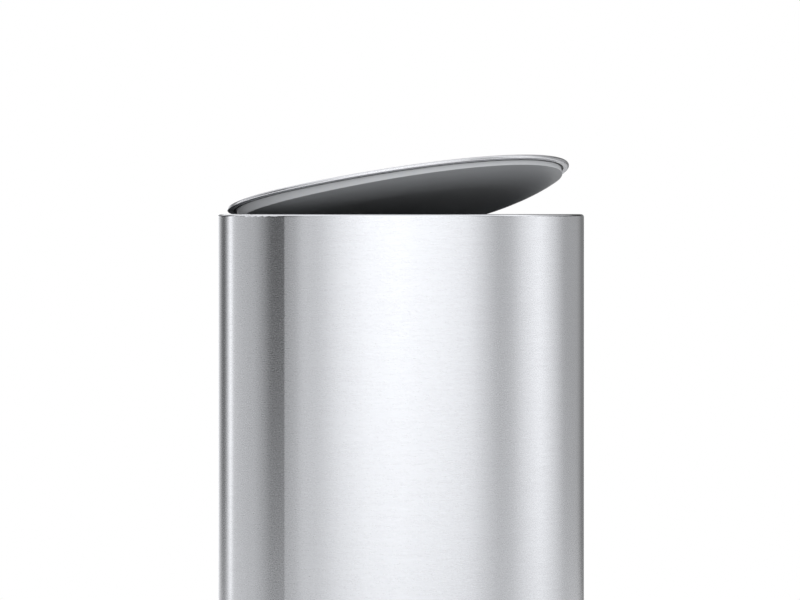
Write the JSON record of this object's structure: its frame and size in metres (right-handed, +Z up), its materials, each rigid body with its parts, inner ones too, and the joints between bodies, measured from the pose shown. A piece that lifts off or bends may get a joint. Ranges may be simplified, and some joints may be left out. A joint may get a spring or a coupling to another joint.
{
  "type": "countertop bin",
  "caption": "Countertop bin with a semi-round steel body, a push-to-open lid hinged at its flat back, and a lift-out bucket.",
  "frame": {"origin": "centre of the bounding box's bottom face, on the plane that the bin stands on", "axes": "+Z up, -Y to the round front, +Y to the flat back with the hinge, +X to the right seen from the front"},
  "size_m": [0.2004, 0.133, 0.2668],
  "materials": {
    "brushed_body": "horizontally brushed stainless steel",
    "lid_steel": "satin stainless steel",
    "bracket_steel": "plain pressed steel",
    "zinc_steel": "zinc plated",
    "spring_steel": "drawn spring wire",
    "liner_plastic": "smooth satin moulding",
    "collar_plastic": "fine matte moulding",
    "base_plastic": "fine matte moulding",
    "bucket_plastic": "satin moulding",
    "damper_plastic": "black nylon",
    "acetal": "natural acetal",
    "rubber": "soft matte rubber"
  },
  "bodies": {
    "bin": {"body_shell": "brushed_body", "base_tray": "base_plastic", "feet": "rubber", "rim_collar": "collar_plastic", "collar_lugs": "bracket_steel", "hinge_bracket": "bracket_steel", "bracket_screws": "zinc_steel", "hinge_pin": "zinc_steel", "lid_spring_left": "spring_steel", "lid_spring_right": "spring_steel", "seat_buffers": "rubber", "mechanism_cover": "collar_plastic", "cover_screws": "zinc_steel", "damper_body": "damper_plastic", "damper_screws": "zinc_steel", "catch_pivot_pin": "zinc_steel", "follower_spring": "spring_steel"},
    "lid": {"lid_skin": "lid_steel", "lid_seal": "rubber", "lid_liner": "liner_plastic", "lid_quadrant": "acetal", "catch_cam": "acetal", "lid_screws": "zinc_steel"},
    "pinion": {"damper_pinion": "acetal"},
    "follower": {"catch_follower": "acetal"},
    "bucket": {"inner_bucket": "bucket_plastic"}
  },
  "joints": [
    {"name": "lid_hinge", "type": "hinge", "parent": "bin", "child": "lid", "pos_m": [0, 0.0625, 0.24], "axis": [-1, 0, 0], "range_deg": [-14.2, 47.8], "stiffness_Nm_per_rad": 0.12, "springref_deg": 40.11, "deforming": ["lid_spring_left", "lid_spring_right"]},
    {"name": "damper_spin", "type": "hinge", "parent": "bin", "child": "pinion", "pos_m": [0.011, 0.02876, 0.22296], "axis": [1, 0, 0], "range_deg": [-135, 454.2]},
    {"name": "catch_swing", "type": "hinge", "parent": "bin", "child": "follower", "pos_m": [-0.018, 0.04594, 0.20821], "axis": [1, 0, 0], "range_deg": [0, 23.07], "stiffness_Nm_per_rad": 0.002, "springref_deg": -20.05, "deforming": ["follower_spring"]},
    {"name": "bucket_lift", "type": "slide", "parent": "bin", "child": "bucket", "axis": [0, 0, 1], "range_m": [0, 0.004]}
  ],
  "couplings": [
    {"joint": "damper_spin", "follows": "lid_hinge", "ratio": 9.5}
  ]
}
